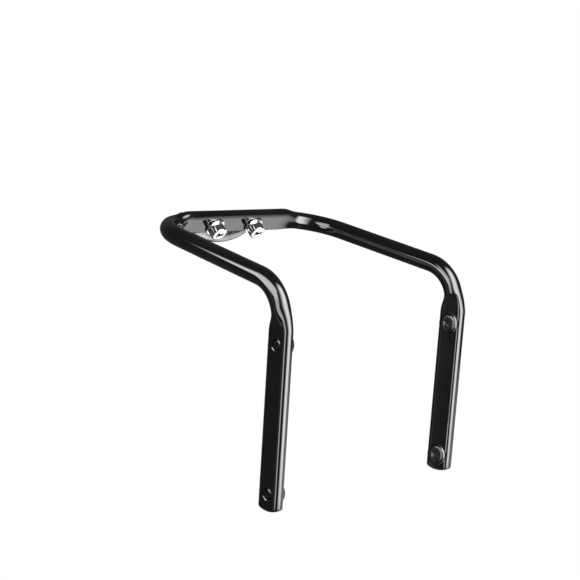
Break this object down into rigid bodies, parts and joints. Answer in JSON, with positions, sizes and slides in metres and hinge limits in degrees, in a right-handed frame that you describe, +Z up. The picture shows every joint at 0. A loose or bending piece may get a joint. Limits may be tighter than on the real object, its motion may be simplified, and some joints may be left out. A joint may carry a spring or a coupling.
{
  "type": "saddle bag stabilizer",
  "caption": "Bent black bracket that clamps under two saddle rails and holds a saddle bag steady between its flattened, drilled legs.",
  "frame": {"origin": "middle of the front bar, halfway between the clamp bolts", "axes": "+X to the bicycle's right, +Y forward, +Z up as fitted"},
  "size_m": [0.1272, 0.1118, 0.1251],
  "materials": {
    "black_paint": "gloss",
    "bright_plate": "polished",
    "bright_steel": "polished",
    "black_steel": "satin"
  },
  "bodies": {
    "frame": {"bent_frame": "black_paint", "clamp_washer_left": "bright_steel", "clamp_washer_right": "bright_steel", "leg_screw_left_upper": "black_steel", "leg_screw_left_lower": "black_steel", "leg_screw_right_upper": "black_steel", "leg_screw_right_lower": "black_steel"},
    "clamp_plate": {"rail_clamp_plate": "bright_plate"},
    "bolt_left": {"clamp_bolt_left": "bright_steel"},
    "bolt_right": {"clamp_bolt_right": "bright_steel"}
  },
  "joints": [
    {"name": "clamp_travel", "type": "slide", "parent": "frame", "child": "clamp_plate", "axis": [0, 0.6428, 0.766], "range_m": [0, 0.002]},
    {"name": "bolt_left_turn", "type": "hinge", "parent": "frame", "child": "bolt_left", "pos_m": [-0.013, 0.00054, -0.00045], "axis": [0, -0.6428, -0.766], "range_deg": [0, 900]},
    {"name": "bolt_right_turn", "type": "hinge", "parent": "frame", "child": "bolt_right", "pos_m": [0.013, 0.00054, -0.00045], "axis": [0, -0.6428, -0.766], "range_deg": [0, 900]}
  ],
  "couplings": [
    {"joint": "bolt_left_turn", "follows": "clamp_travel", "rad_per_m": 7854},
    {"joint": "bolt_right_turn", "follows": "clamp_travel", "rad_per_m": 7854}
  ]
}
